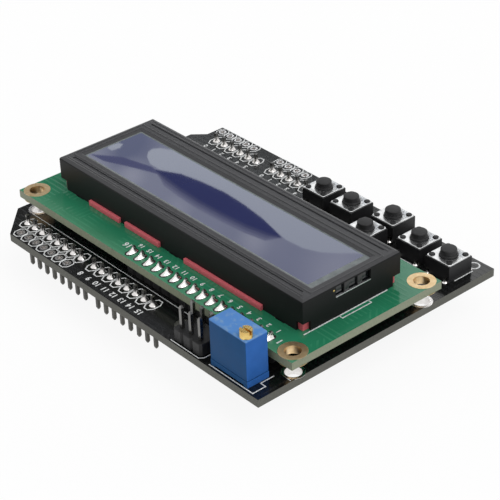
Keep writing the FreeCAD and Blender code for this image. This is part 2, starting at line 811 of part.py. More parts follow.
def trimmer_base():
    """The plate that closes the trimmer, with feet that hold it off the board."""
    body = new_body(
        "trimmer_base", "sizes.trimmer_x", "sizes.trimmer_y", f"{SHIELD_TOP} + sizes.trimmer_lift"
    )
    box(
        body, "plate", "Additive", "sizes.trimmer_length", "sizes.trimmer_width",
        "sizes.trimmer_base_height",
    )
    foot = box(
        body, "foot", "Additive", "sizes.trimmer_foot_width", "sizes.trimmer_width",
        "sizes.trimmer_lift", "-(sizes.trimmer_length - sizes.trimmer_foot_width) / 2", "0",
        "-sizes.trimmer_lift",
    )
    row(
        body, "feet", [foot], "X_Axis", "sizes.trimmer_length - sizes.trimmer_foot_width", "2"
    )
    lead = box(
        body, "lead_hole", "Subtractive", PIN_HOLE, PIN_HOLE, "sizes.trimmer_base_height",
        "-sizes.pitch",
    )
    row(body, "lead_holes", [lead], "X_Axis", "2 * sizes.pitch", "3")


def trimmer_leads():
    """Three square leads from the trimmer's floor down through the board."""
    body = new_body(
        "trimmer_leads", "sizes.trimmer_x", "sizes.trimmer_y",
        f"{SHIELD_UNDER} - sizes.pin_tail",
    )
    lead = box(
        body, "lead", "Additive", "sizes.pin_side", "sizes.pin_side",
        "sizes.pin_tail + sizes.board_thickness + sizes.trimmer_lift + sizes.trimmer_base_height",
        "-sizes.pitch",
    )
    row(body, "leads", [lead], "X_Axis", "2 * sizes.pitch", "3")


def trimmer_screw():
    """The slotted brass screw, whose shaft drives the wheel inside."""
    body = new_body(
        "trimmer_screw", "sizes.trimmer_x + sizes.screw_x", "sizes.trimmer_y + sizes.screw_y",
        f"{SHIELD_TOP} + sizes.trimmer_lift + sizes.trimmer_base_height",
    )
    cylinder(
        body, "head", "Additive", "sizes.screw_head_radius", "sizes.screw_head_height",
        z="sizes.trimmer_case_height",
    )
    prism(
        body, "shaft", "Additive", "sizes.shaft_sides", "sizes.screw_shaft_radius",
        "sizes.trimmer_case_height - sizes.screw_play", z="sizes.screw_play",
    )
    box(
        body, "slot", "Subtractive", "2 * sizes.screw_head_radius", "sizes.screw_slot_width",
        "sizes.screw_slot_depth",
        z="sizes.trimmer_case_height + sizes.screw_head_height - sizes.screw_slot_depth",
    )


def trimmer_wheel():
    """The worm wheel that carries the wiper, turning on a stub axle from the case's front wall."""
    gap = "(sizes.screw_shaft_radius + sizes.wheel_radius + sizes.wheel_play)"
    body = new_body(
        "trimmer_wheel", f"sizes.trimmer_x + sizes.screw_x + {gap}", "sizes.trimmer_y",
        f"{SHIELD_TOP} + sizes.trimmer_lift + sizes.trimmer_base_height + sizes.wheel_height",
    )
    across = FreeCAD.Rotation(FreeCAD.Vector(1, 0, 0), -90)
    rim = prism(
        body, "rim", "Additive", "sizes.wheel_sides", "sizes.wheel_radius", "sizes.wheel_width", "0",
        "sizes.screw_y - sizes.wheel_width / 2",
    )
    rim.Placement.Rotation = across
    cheek = "(sizes.trimmer_width / 2 - sizes.trimmer_wall - sizes.screw_play)"
    axle = cylinder(
        body, "axle", "Additive", "sizes.wheel_axle_radius",
        f"{cheek} + sizes.screw_y - sizes.wheel_width / 2", "0", f"-{cheek}",
    )
    axle.Placement.Rotation = across


def button_base(name, x, y):
    """A button's moulded body: a well for the spring, four rivet posts, and tunnels for its rails."""
    body = new_body(f"{name}_button_base", x, y, SHIELD_TOP)
    box(
        body, "block", "Additive", "sizes.button_side", "sizes.button_side", "sizes.button_body_height"
    )
    prism(
        body, "well", "Subtractive", "sizes.button_well_sides", "sizes.button_well_radius",
        "sizes.button_body_height - sizes.button_wall_floor", z="sizes.button_wall_floor",
    )
    tunnel = box(
        body, "tunnel", "Subtractive", "sizes.rail_width + 2 * sizes.rail_play", "sizes.button_side",
        "sizes.rail_thickness + 2 * sizes.rail_play", "-sizes.rail_x", "0",
        "sizes.rail_height - sizes.rail_play",
    )
    row(body, "tunnels", [tunnel], "X_Axis", "2 * sizes.rail_x", "2")
    post = prism(
        body, "post", "Additive", "sizes.rivet_sides", "sizes.rivet_radius",
        "sizes.cover_thickness + sizes.rivet_head", "-sizes.rivet_offset", "-sizes.rivet_offset",
        "sizes.button_body_height",
    )
    grid(
        body, "posts", [post], "2 * sizes.rivet_offset", "2", "2 * sizes.rivet_offset", "2"
    )


def button_cover(name, x, y):
    """A button's steel plate, with holes for the plunger and rivets and a tab down each side."""
    body = new_body(f"{name}_button_cover", x, y, f"{SHIELD_TOP} + sizes.button_body_height")
    box(body, "plate", "Additive", "sizes.cover_side", "sizes.cover_side", "sizes.cover_thickness")
    reach = "(sizes.button_side / 2 + sizes.cover_tab_thickness)"
    box(
        body, "bridge", "Additive", f"2 * {reach}", "sizes.cover_tab_width", "sizes.cover_thickness"
    )
    tab = box(
        body, "tab", "Additive", "sizes.cover_tab_thickness", "sizes.cover_tab_width",
        "sizes.cover_tab_height", f"-{reach} + sizes.cover_tab_thickness / 2", "0",
        "-sizes.cover_tab_height",
    )
    row(body, "tabs", [tab], "X_Axis", "sizes.button_side + sizes.cover_tab_thickness", "2")
    prism(
        body, "opening", "Subtractive", "sizes.cover_hole_sides",
        "(sizes.plunger_radius + sizes.plunger_play) / cos(180 deg / sizes.cover_hole_sides)",
        "sizes.cover_thickness",
    )
    rivet = prism(
        body, "rivet_hole", "Subtractive", "sizes.rivet_sides",
        "sizes.rivet_radius + sizes.rivet_play", "sizes.cover_thickness",
        "-sizes.rivet_offset", "-sizes.rivet_offset",
    )
    grid(
        body, "rivet_holes", [rivet], "2 * sizes.rivet_offset", "2", "2 * sizes.rivet_offset", "2"
    )


def button_plunger(name, x, y):
    """A button's stepped plunger, kept in by a flange below the cover."""
    body = new_body(f"{name}_button_plunger", x, y, f"{SHIELD_TOP} + sizes.button_body_height")
    prism(
        body, "flange", "Additive", "sizes.button_well_sides", "sizes.plunger_flange_radius",
        "sizes.plunger_flange_height", z="-(sizes.plunger_flange_height + sizes.plunger_flange_gap)",
    )
    prism(
        body, "lower_step", "Additive", "sizes.plunger_sides", "sizes.plunger_radius",
        "sizes.plunger_flange_gap + sizes.cover_thickness + sizes.plunger_step_height",
        z="-sizes.plunger_flange_gap",
    )
    prism(
        body, "upper_step", "Additive", "sizes.plunger_sides", "sizes.plunger_top_radius",
        "sizes.plunger_top_height", z="sizes.cover_thickness",
    )


def button_contacts(name, x, y):
    """A button's two contact rails, bent down into legs, and the arched leaf spring above them."""
    body = new_body(f"{name}_button_contacts", x, y, SHIELD_TOP)
    inner = "(sizes.button_side / 2 + sizes.rail_play)"
    outer = f"({inner} + sizes.rail_thickness)"
    foot = "-(sizes.board_thickness + sizes.leg_tail)"
    top = "(sizes.rail_height + sizes.rail_thickness)"
    profile = [
        (f"-{outer}", foot),
        (f"-{inner}", foot),
        (f"-{inner}", "sizes.rail_height"),
        (inner, "sizes.rail_height"),
        (inner, foot),
        (outer, foot),
        (outer, top),
        (f"-{outer}", top),
    ]
    sketch = outline(body, "rail_profile", profile, "YZ_Plane", "-sizes.rail_x - sizes.rail_width / 2")
    rail = pad(body, "rail", sketch, "sizes.rail_width")
    row(body, "rails", [rail], "X_Axis", "2 * sizes.rail_x", "2")
    floor = "sizes.button_wall_floor"
    crown = (
        "(sizes.button_body_height - sizes.plunger_flange_gap - sizes.plunger_flange_height"
        " - sizes.plunger_travel - sizes.spring_gap)"
    )
    arch = [
        ("-sizes.spring_reach", floor),
        ("-sizes.spring_reach + sizes.spring_sheet", floor),
        ("-sizes.spring_top_reach", f"{crown} - sizes.spring_sheet"),
        ("sizes.spring_top_reach", f"{crown} - sizes.spring_sheet"),
        ("sizes.spring_reach - sizes.spring_sheet", floor),
        ("sizes.spring_reach", floor),
        ("sizes.spring_top_reach", crown),
        ("-sizes.spring_top_reach", crown),
    ]
    arch_sketch = outline(body, "spring_profile", arch, "YZ_Plane", "-sizes.spring_width / 2")
    pad(body, "spring", arch_sketch, "sizes.spring_width")


def check_document():
    """Stops on any feature that failed, and on any sub-part that is empty or not a valid solid."""
    for feature in doc.Objects:
        if "Invalid" in feature.State or "Error" in feature.State:
            raise ValueError(f"{feature.Name} failed: {feature.State}")
    for body in kept_bodies:
        shape = body.Shape
        if shape.isNull() or not shape.isValid() or not shape.Solids:
            raise ValueError(f"{body.Label} has no valid solid")


shield_board()
lcd_board()
lcd_bezel()
display_stack()
under_board_chips()
lcd_header()
stack_headers()
program_header()
trimmer_case()
trimmer_base()
trimmer_leads()
trimmer_screw()
trimmer_wheel()
for button_name, button_x, button_y in button_places():
    button_base(button_name, button_x, button_y)
    button_cover(button_name, button_x, button_y)
    button_plunger(button_name, button_x, button_y)
    button_contacts(button_name, button_x, button_y)
doc.recompute()
check_document()

os.makedirs("parts", exist_ok=True)
for body in kept_bodies:
    body.Shape.exportStep(f"parts/{body.Label}.step")
print(f"{len(kept_bodies)} sub-parts written")
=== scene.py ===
import math
import random

import bmesh
import bpy
from mathutils import Matrix, Vector


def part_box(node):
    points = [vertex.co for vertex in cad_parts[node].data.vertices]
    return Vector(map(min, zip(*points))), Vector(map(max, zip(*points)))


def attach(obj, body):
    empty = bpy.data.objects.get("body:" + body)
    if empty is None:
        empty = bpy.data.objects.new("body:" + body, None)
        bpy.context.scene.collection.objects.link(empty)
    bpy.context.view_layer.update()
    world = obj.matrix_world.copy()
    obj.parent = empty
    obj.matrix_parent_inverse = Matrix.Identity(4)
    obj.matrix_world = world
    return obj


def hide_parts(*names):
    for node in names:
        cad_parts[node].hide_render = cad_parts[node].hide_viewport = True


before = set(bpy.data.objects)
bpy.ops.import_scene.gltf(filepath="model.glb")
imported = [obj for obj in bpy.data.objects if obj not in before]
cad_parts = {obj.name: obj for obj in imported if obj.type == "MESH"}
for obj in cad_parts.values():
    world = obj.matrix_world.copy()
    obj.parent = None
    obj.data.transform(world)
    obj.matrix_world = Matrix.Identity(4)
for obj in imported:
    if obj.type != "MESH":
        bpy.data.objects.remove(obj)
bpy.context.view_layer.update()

# Lengths are millimetres here and become metres where a mesh is written.
MM = 0.001
chance = random.Random(16)


def edges(node):
    """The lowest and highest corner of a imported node, in millimetres."""
    low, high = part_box(node)
    return low / MM, high / MM


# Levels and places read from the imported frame
PITCH = 2.54
PIN_SIDE = 0.64
SHIELD_LOW, SHIELD_HIGH = edges("shield_board")
DISPLAY_LOW, DISPLAY_HIGH = edges("lcd_board")
BEZEL_LOW, BEZEL_HIGH = edges("lcd_bezel")
CASE_LOW, CASE_HIGH = edges("trimmer_case")
SHIELD_TOP = SHIELD_HIGH.z
SHIELD_UNDER = SHIELD_LOW.z
BOARD_THICKNESS = SHIELD_TOP - SHIELD_UNDER
DISPLAY_TOP = DISPLAY_HIGH.z
DISPLAY_UNDER = DISPLAY_TOP - BOARD_THICKNESS
GLASS_TOP = edges("front_polarizer")[1].z
DISPLAY_X = (DISPLAY_LOW.x + DISPLAY_HIGH.x) / 2
DISPLAY_Y = (DISPLAY_LOW.y + DISPLAY_HIGH.y) / 2
BUTTONS = ("select", "left", "down", "up", "right", "reset")
PLUG_ROWS = ("digital_low", "digital_high", "analog", "power")
HOLE_SPAN_X = 75.0
HOLE_SPAN_Y = 31.0
SCREW_HOLES = [
    (DISPLAY_X + side * HOLE_SPAN_X / 2, DISPLAY_Y + end * HOLE_SPAN_Y / 2)
    for side in (-1, 1) for end in (-1, 1)
]
FRAME_X = (BEZEL_LOW.x + BEZEL_HIGH.x) / 2
WINDOW_LENGTH = 66.6
WINDOW = (FRAME_X - WINDOW_LENGTH / 2, FRAME_X + WINDOW_LENGTH / 2, -4.0, 11.2)
# Where each recess at the frame's foot starts and stops along x
RECESSES = ((15.65, 25.2), (3.5, 13.9), (-25.2, -3.85))
RECESS_HEIGHT = 1.1
# The slot in the frame's end, along y and in height
SLOT = (-1.1, 7.25)
SLOT_LEVELS = (DISPLAY_TOP + 4.1, DISPLAY_TOP + 6.15)
# A printed line stands this far proud of its board
INK_LIFT = 0.03
SPARE_PADS = (
    [(32.2 - PITCH * step, 27.2) for step in range(7)]
    + [(36.3 - PITCH * step, -27.6) for step in range(5)]
    + [(17.9 - PITCH * step, -27.6) for step in range(4)]
)


def row_places(node):
    """The x and y of each pin in a packed row of pins, from its +X end."""
    low, high = edges(node)
    count = round((high.x - low.x - PIN_SIDE) / PITCH) + 1
    rows = round((high.y - low.y - PIN_SIDE) / PITCH) + 1
    first = high.x - PIN_SIDE / 2
    return [
        (first - PITCH * step, low.y + PIN_SIDE / 2 + PITCH * line)
        for line in range(rows)
        for step in range(count)
    ]


# Shaders
WHITE = (1.0, 1.0, 1.0, 1.0)


class Wire:
    """An output socket that takes part in sums; each operator adds one Math node."""

    def __init__(self, finish, socket):
        self.finish = finish
        self.socket = socket

    def maths(self, operation, first, second):
        return self.finish.node("ShaderNodeMath", {"operation": operation}, {0: first, 1: second})

    def __add__(self, other):
        return self.maths("ADD", self, other)

    def __radd__(self, other):
        return self.maths("ADD", other, self)

    def __sub__(self, other):
        return self.maths("SUBTRACT", self, other)

    def __rsub__(self, other):
        return self.maths("SUBTRACT", other, self)

    def __mul__(self, other):
        return self.maths("MULTIPLY", self, other)

    def __rmul__(self, other):
        return self.maths("MULTIPLY", other, self)

    def __gt__(self, other):
        return self.maths("GREATER_THAN", self, other)

    def __lt__(self, other):
        return self.maths("LESS_THAN", self, other)

    def __abs__(self):
        return self.maths("ABSOLUTE", self, 0.0)


class Finish:
    """One procedural material, built up node by node."""

    def __init__(self, name, tree=None):
        if tree is None:
            self.material = bpy.data.materials.new(name)
            self.material.use_nodes = True
            tree = self.material.node_tree
        tree.nodes.clear()
        self.tree = tree
        self.places = None

    def node(self, kind, settings=None, inputs=None, output=0):
        """Adds a node, sets it up, fills its sockets and gives one of its outputs."""
        made = self.tree.nodes.new(kind)
        for name, setting in (settings or {}).items():
            if name == "stops":
                for index, (place, shade) in enumerate(setting):
                    elements = made.color_ramp.elements
                    stop = elements[index] if index < 2 else elements.new(place)
                    stop.position = place
                    stop.color = shade
            else:
                setattr(made, name, setting)
        for name, given in (inputs or {}).items():
            if isinstance(given, Wire):
                self.tree.links.new(given.socket, made.inputs[name])
            else:
                made.inputs[name].default_value = given
        return Wire(self, made.outputs[output]) if made.outputs else None

    def place(self):
        """The point that is shaded, in millimetres of the frame."""
        if self.places is None:
            spot = self.node("ShaderNodeTexCoord", output="Object")
            self.places = self.node(
                "ShaderNodeVectorMath", {"operation": "SCALE"}, {0: spot, "Scale": 1 / MM}
            )
        return self.places

    def stretched(self, along_x, along_y, along_z):
        """The shaded point with each of its axes scaled, for marks that run one way."""
        factors = (along_x, along_y, along_z)
        return self.node("ShaderNodeVectorMath", {"operation": "MULTIPLY"}, {0: self.place(), 1: factors})

    def axis(self, letter):
        """One coordinate of the shaded point."""
        return self.node("ShaderNodeSeparateXYZ", None, {0: self.place()}, letter)

    def facing(self, letter):
        """1 on faces that look along an axis, either way, and 0 on the others."""
        normal = self.node("ShaderNodeNewGeometry", output="Normal")
        return abs(self.node("ShaderNodeSeparateXYZ", None, {0: normal}, letter)) > 0.5

    def noise(self, scale, detail=2.0, place=None):
        """Soft noise, with scale in ripples per millimetre."""
        return self.node(
            "ShaderNodeTexNoise", None,
            {"Vector": place or self.place(), "Scale": scale, "Detail": detail}, "Fac",
        )

    def ramp(self, factor, low, high):
        """0 below one value of a factor, 1 above another, and smooth between."""
        return self.node(
            "ShaderNodeMapRange", {"interpolation_type": "SMOOTHSTEP"},
            {"Value": factor, "From Min": low, "From Max": high},
        )

    def mix(self, factor, first, second):
        """A colour between two others."""
        return self.node(
            "ShaderNodeMix", {"data_type": "RGBA"}, {0: factor, 6: first, 7: second}, 2
        )

    def bump(self, height, distance, strength=1.0):
        """A normal raised by a height of 0 to 1, over a distance in millimetres."""
        return self.node(
            "ShaderNodeBump", None,
            {"Height": height, "Distance": distance * MM, "Strength": strength},
        )

    def seen(self):
        """1 for what is seen, directly or in gloss and glass, and 0 for light that falls on things."""
        kinds = ("Is Camera Ray", "Is Glossy Ray", "Is Transmission Ray")
        direct, gloss, through = (self.node("ShaderNodeLightPath", output=kind) for kind in kinds)
        return direct + gloss + through

    def surface(self, **sockets):
        """Ends the material in one Principled shader and returns the material."""
        named = {name.replace("_", " "): given for name, given in sockets.items()}
        shader = self.node("ShaderNodeBsdfPrincipled", None, named)
        self.node("ShaderNodeOutputMaterial", None, {"Surface": shader})
        return self.material


def colour(red, green, blue):
    """A linear colour from display values of 0 to 255."""
    return tuple(
        part / 255 / 12.92 if part < 10.3 else ((part / 255 + 0.055) / 1.055) ** 2.4
        for part in (red, green, blue)
    ) + (1.0,)


def tracks(finish, pitch, low_cover):
    """Copper tracks under solder mask: thin lines along, across or slantwise in patches."""
    snapped = finish.node(
        "ShaderNodeVectorMath", {"operation": "SNAP"},
        {0: finish.place(), 1: (pitch * 5, pitch * 3, 100.0)},
    )
    draw = finish.node(
        "ShaderNodeTexWhiteNoise", {"noise_dimensions": "3D"}, {"Vector": snapped}, "Value"
    )
    x = finish.axis("X")
    y = finish.axis("Y")
    lines = []
    for way in (y, x, (x + y) * math.sqrt(0.5)):
        wave = finish.node("ShaderNodeMath", {"operation": "PINGPONG"}, {0: way, 1: pitch / 2})
        lines.append(finish.ramp(wave, pitch * 0.30, pitch * 0.36))
    along = (draw > low_cover) * (draw < 0.8) * lines[0]
    across = (draw > 0.8) * (draw < 0.93) * lines[1]
    slant = (draw > 0.93) * lines[2]
    return along + across + slant


def shield_mask():
    """Glossy black solder mask, with faint tracks and a grey olive cut edge."""
    finish = Finish("shield_board_black")
    flat = finish.facing("Z")
    trace = tracks(finish, 1.27, 0.35)
    weave = finish.noise(9.0, 3.0, finish.stretched(1.0, 1.0, 0.25))
    speck = finish.noise(1.6, 4.0)
    mask = finish.mix(trace * 0.5, colour(14, 15, 15), colour(27, 28, 29))
    edge = finish.mix(weave, colour(50, 51, 45), colour(98, 98, 90))
    return finish.surface(
        Base_Color=finish.mix(flat, edge, mask),
        Roughness=0.55 - flat * 0.4 + speck * 0.06,
        Normal=finish.bump(trace * 0.5 + speck * 0.5, 0.05, 0.35),
        Specular_IOR_Level=0.5,
    )


def display_mask():
    """Glossy green solder mask over faint tracks, with a pale glass-fibre edge and a painted sheen near its
    +Y edge.
    """
    finish = Finish("lcd_board_green")
    flat = finish.facing("Z")
    trace = tracks(finish, 1.1, 0.2)
    weave = finish.noise(8.0, 3.0, finish.stretched(1.0, 1.0, 0.2))
    cloud = finish.noise(0.09, 2.0)
    deep = finish.mix(cloud, colour(27, 108, 74), colour(47, 132, 98))
    patch = finish.ramp(finish.noise(0.16, 1.0), 0.35, 0.65)
    # Painted sheen: this ramp paints the mask paler towards the board's +Y edge, a painted reflection mixed
    # in below.
    rim = finish.ramp(finish.axis("Y"), DISPLAY_HIGH.y - 5.0, DISPLAY_HIGH.y + 1.0)
    mask = finish.mix(trace * patch * 0.35, deep, colour(70, 150, 114))
    mask = finish.mix(rim * 0.3, mask, colour(118, 168, 136))
    edge = finish.mix(weave, colour(100, 110, 90), colour(146, 150, 126))
    return finish.surface(
        Base_Color=finish.mix(flat, edge, mask),
        Roughness=0.5 - flat * 0.4 + cloud * 0.05,
        Normal=finish.bump(trace, 0.04, 0.3),
    )


def black_paint():
    """Satin black paint on folded sheet, faintly pebbled, its top painted paler than its sides as painted
    light, and rubbed paler in streaks.
    """
    finish = Finish("black_painted_frame")
    pebble = finish.noise(7.0, 3.0)
    streak = finish.noise(0.5, 3.0, finish.stretched(0.25, 3.0, 1.0))
    flat = finish.facing("Z")
    # Painted light: the top faces get this paler colour and the sides keep a darker one, for the light that
    # falls on the top; the streaks are rubbed paler.
    tone = finish.mix(streak, colour(30, 31, 33), colour(48, 48, 52))
    return finish.surface(
        Base_Color=finish.mix(flat, colour(24, 25, 25), tone),
        Roughness=0.36 + streak * 0.12,
        Normal=finish.bump(pebble, 0.02, 0.35),
        Specular_IOR_Level=0.12,
        Coat_Weight=flat * 0.75,
        Coat_Roughness=0.42,
    )


def polarizer_film():
    """The dark blue film that makes the window, mirror smooth with the faintest ripple."""
    finish = Finish("polarizer_blue")
    cloud = finish.noise(0.05, 1.0)
    ripple = finish.noise(0.06, 1.0, finish.stretched(0.6, 1.0, 1.0))
    return finish.surface(
        Base_Color=finish.mix(cloud, colour(20, 27, 76), colour(26, 34, 84)),
        Roughness=0.01 + cloud * 0.015,
        Normal=finish.bump(ripple, 0.02, 0.15),
        IOR=1.52,
    )


def display_glass():
    """Glass coloured near black all over, so that its edges show dark in the frame's slot."""
    finish = Finish("display_glass")
    cloud = finish.noise(0.4, 2.0)
    return finish.surface(
        Base_Color=finish.mix(cloud, colour(12, 14, 16), colour(26, 29, 31)),
        Roughness=0.08 + cloud * 0.05,
    )


def plain_moulding(name, dark, pale, rough, grain, depth, gloss=0.5):
    """Moulded plastic, mottled between two shades, with a fine grain."""
    finish = Finish(name)
    mottle = finish.noise(0.8, 3.0)
    pits = finish.noise(grain, 3.0)
    return finish.surface(
        Base_Color=finish.mix(mottle, dark, pale),
        Roughness=rough + mottle * 0.1,
        Normal=finish.bump(pits, depth, 0.5),
        Specular_IOR_Level=gloss,
    )


def zebra_rubber():
    """Pink silicone rubber with the dark band of its conductive core."""
    finish = Finish("connector_rubber")
    mottle = finish.noise(2.0, 3.0)
    height = finish.axis("Z") - DISPLAY_TOP
    core = finish.ramp(abs(height - 2.6), 0.9, 0.7)
    pink = finish.mix(mottle, colour(196, 82, 92), colour(222, 110, 118))
    return finish.surface(
        Base_Color=finish.mix(core, pink, colour(60, 30, 34)),
        Roughness=0.5 + mottle * 0.15,
        Normal=finish.bump(mottle, 0.03, 0.4),
    )


def bright_metal(name, dark, pale, rough, grain, stretch=(1.0, 1.0, 1.0), depth=0.01):
    """Plated or soldered metal, clouded between two shades."""
    finish = Finish(name)
    place = finish.stretched(*stretch)
    cloud = finish.noise(grain, 3.0, place)
    fine = finish.noise(grain * 5, 2.0, place)
    return finish.surface(
        Base_Color=finish.mix(cloud, dark, pale),
        Metallic=1.0,
        Roughness=rough + fine * 0.14,
        Normal=finish.bump(fine, depth, 0.5),
    )


def tinned_pins():
    """Tinned pins, with painted shade making them darker where they hang below the shield."""
    finish = Finish("tinned_pins")
    place = finish.stretched(1.0, 1.0, 0.3)
    cloud = finish.noise(1.2, 3.0, place)
    fine = finish.noise(6.0, 2.0, place)
    # Painted shade: below the shield's underside the pins take a darker copy of their colour, for the shade
    # under the board.
    below = finish.ramp(finish.axis("Z"), SHIELD_UNDER, SHIELD_UNDER - 0.8)
    bright = finish.mix(cloud, colour(74, 74, 74), colour(150, 149, 146))
    shaded_pin_tone = finish.mix(cloud, colour(48, 48, 46), colour(96, 95, 91))
    return finish.surface(
        Base_Color=finish.mix(below, bright, shaded_pin_tone),
        Metallic=1.0,
        Roughness=0.2 + fine * 0.14,
        Normal=finish.bump(fine, 0.01, 0.5),
    )


def print_ink(name, shade):
    """Thin printed ink, a little worn where the mask shows through."""
    finish = Finish(name)
    wear = finish.noise(3.5, 4.0)
    worn = tuple(part * 0.62 for part in shade[:3]) + (1.0,)
    return finish.surface(
        Base_Color=finish.mix(finish.ramp(wear, 0.35, 0.55), worn, shade),
        Roughness=0.5 + wear * 0.2,
        Normal=finish.bump(wear, 0.01, 0.5),
    )


def trimmer_moulding():
    """Blue moulded plastic, dusty on its top, with painted light and shade: a paler top, lighter ends and
    darker flanks.
    """
    finish = Finish("trimmer_blue")
    mottle = finish.noise(0.5, 4.0)
    grain = finish.noise(5.0, 3.0)
    # Painted light: the top is painted paler than the sides, for the light that falls on it from above; the
    # dust lies on the top as well.
    top = finish.ramp(finish.axis("Z"), CASE_HIGH.z - 0.45, CASE_HIGH.z - 0.15)
    # Painted light and shade: the ends facing X are painted lighter and the flanks facing Y darker, for how
    # the lamp falls on them.
    end = finish.mix(mottle, colour(38, 88, 156), colour(52, 104, 178))
    shaded_flank = finish.mix(mottle, colour(24, 66, 108), colour(34, 78, 124))
    side = finish.mix(finish.facing("X"), shaded_flank, end)
    dust = finish.ramp(finish.noise(0.9, 4.0), 0.45, 0.75)
    face = finish.mix(dust * 0.7, colour(84, 134, 198), colour(128, 160, 190))
    return finish.surface(
        Base_Color=finish.mix(top, side, face),
        Roughness=0.42 + mottle * 0.14,
        Normal=finish.bump(grain, 0.03, 0.4),
        Specular_IOR_Level=0.08,
    )


FINISHES = {
    "shield_board_black": shield_mask(),
    "lcd_board_green": display_mask(),
    "black_painted_frame": black_paint(),
    "display_glass": display_glass(),
    "polarizer_blue": polarizer_film(),
    "white_plastic": plain_moulding(
        "white_plastic", colour(206, 205, 198), colour(232, 231, 226), 0.4, 4.0, 0.02
    ),
    "connector_rubber": zebra_rubber(),
    "black_epoxy": plain_moulding(
        "black_epoxy", colour(16, 16, 17), colour(30, 30, 32), 0.25, 2.0, 0.02
    ),
    "solder": bright_metal(
        "solder", colour(206, 202, 200), colour(250, 248, 246), 0.14, 1.6, depth=0.03
    ),
    "tinned_pins": tinned_pins(),
    "header_plastic": plain_moulding(
        "header_plastic", colour(16, 16, 17), colour(30, 30, 31), 0.42, 6.0, 0.03, 0.35
    ),
    "trimmer_blue": trimmer_moulding(),
    "brass_screw": bright_metal(
        "brass_screw", colour(190, 146, 74), colour(250, 224, 146), 0.2, 0.9, depth=0.003
    ),
    "button_steel": bright_metal(
        "button_steel", colour(204, 205, 206), colour(242, 243, 243), 0.22, 0.8, (0.4, 3.0, 1.0)
    ),
    "button_plastic": plain_moulding(
        "button_plastic", colour(20, 20, 21), colour(34, 34, 36), 0.4, 6.0, 0.03, 0.35
    ),
}
GOLD = bright_metal("hole_plating", colour(206, 168, 112), colour(246, 224, 184), 0.26, 1.0)
FILM_EDGE = plain_moulding("film_edge", colour(66, 72, 76), colour(132, 140, 140), 0.35, 0.9, 0.02)
INK = print_ink("white_print", colour(232, 234, 234))

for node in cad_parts.values():
    packed = node.data.materials[0].name.split(".")[0]
    node.data.materials[0] = FINISHES[packed]


# Shapes


def ring(x, y, z, radius, sides):
    """Points round a level circle."""
    turn = math.tau / sides
    return [
        (x + radius * math.cos(turn * step), y + radius * math.sin(turn * step), z)
        for step in range(sides)
    ]


def rounded(low_x, high_x, low_y, high_y, radius, z, steps=4):
    """Points round a rectangle with rounded corners."""
    points = []
    corners = ((high_x, high_y, 0), (low_x, high_y, 1), (low_x, low_y, 2), (high_x, low_y, 3))
    for x, y, quarter in corners:
        centre_x = x - math.copysign(radius, x - (low_x + high_x) / 2)
        centre_y = y - math.copysign(radius, y - (low_y + high_y) / 2)
        for step in range(steps + 1):
            angle = math.pi / 2 * (quarter + step / steps)
            across, up = radius * math.cos(angle), radius * math.sin(angle)
            points.append((centre_x + across, centre_y + up, z))
    return points


